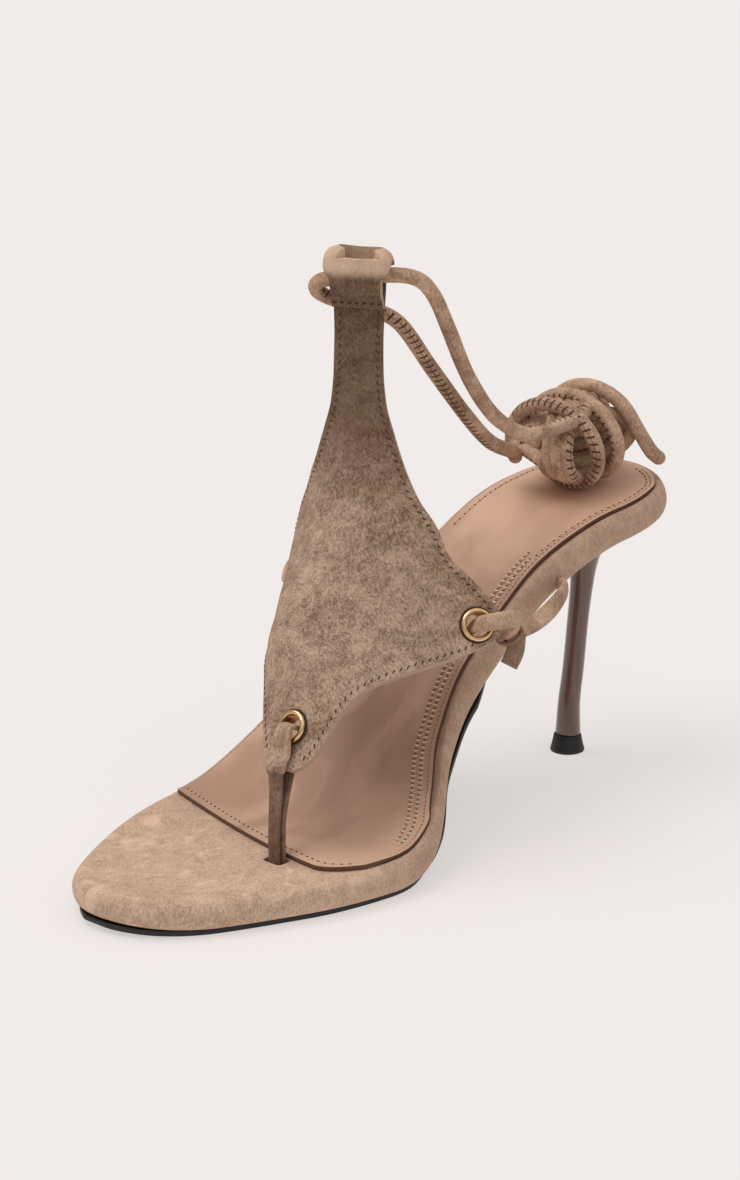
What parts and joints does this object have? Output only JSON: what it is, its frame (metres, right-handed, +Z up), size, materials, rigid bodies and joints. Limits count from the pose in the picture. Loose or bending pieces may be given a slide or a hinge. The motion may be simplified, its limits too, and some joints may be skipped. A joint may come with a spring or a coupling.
{
  "type": "lace up heeled sandal",
  "caption": "High heeled sandal with a toe thong, an instep panel with eyelets that rises to a loop, side ties, and an ankle lace wound in a bundle.",
  "frame": {"origin": "bottom centre of the box of all nodes but the side ties, ankle lace and its bundle, on the floor that the sole stands on", "axes": "+Z up, the toe points along -Y, the heel along +Y, the inner side of the foot along +X"},
  "size_m": [0.0932, 0.231, 0.1751],
  "materials": {
    "suede": "brushed suede",
    "suede_cord": "rolled suede lace",
    "insole_leather": "smooth matte leather",
    "heel_lacquer": "glossy lacquer",
    "outsole_black": "matte black",
    "eyelet_metal": "polished pale gold"
  },
  "bodies": {
    "root": {"footbed": "suede", "outsole": "outsole_black", "insole": "insole_leather", "heel": "heel_lacquer", "heel_top_piece": "outsole_black", "vamp_panel": "suede", "eyelet_front": "eyelet_metal", "eyelet_medial": "eyelet_metal", "eyelet_lateral": "eyelet_metal", "toe_thong": "suede", "tie_medial": "suede_cord", "tie_lateral": "suede_cord", "tie_knot_medial": "suede_cord", "tie_knot_lateral": "suede_cord", "tie_tail_medial": "suede_cord", "tie_tail_lateral": "suede_cord", "ankle_lace": "suede_cord", "lace_bundle": "suede_cord"}
  },
  "joints": []
}
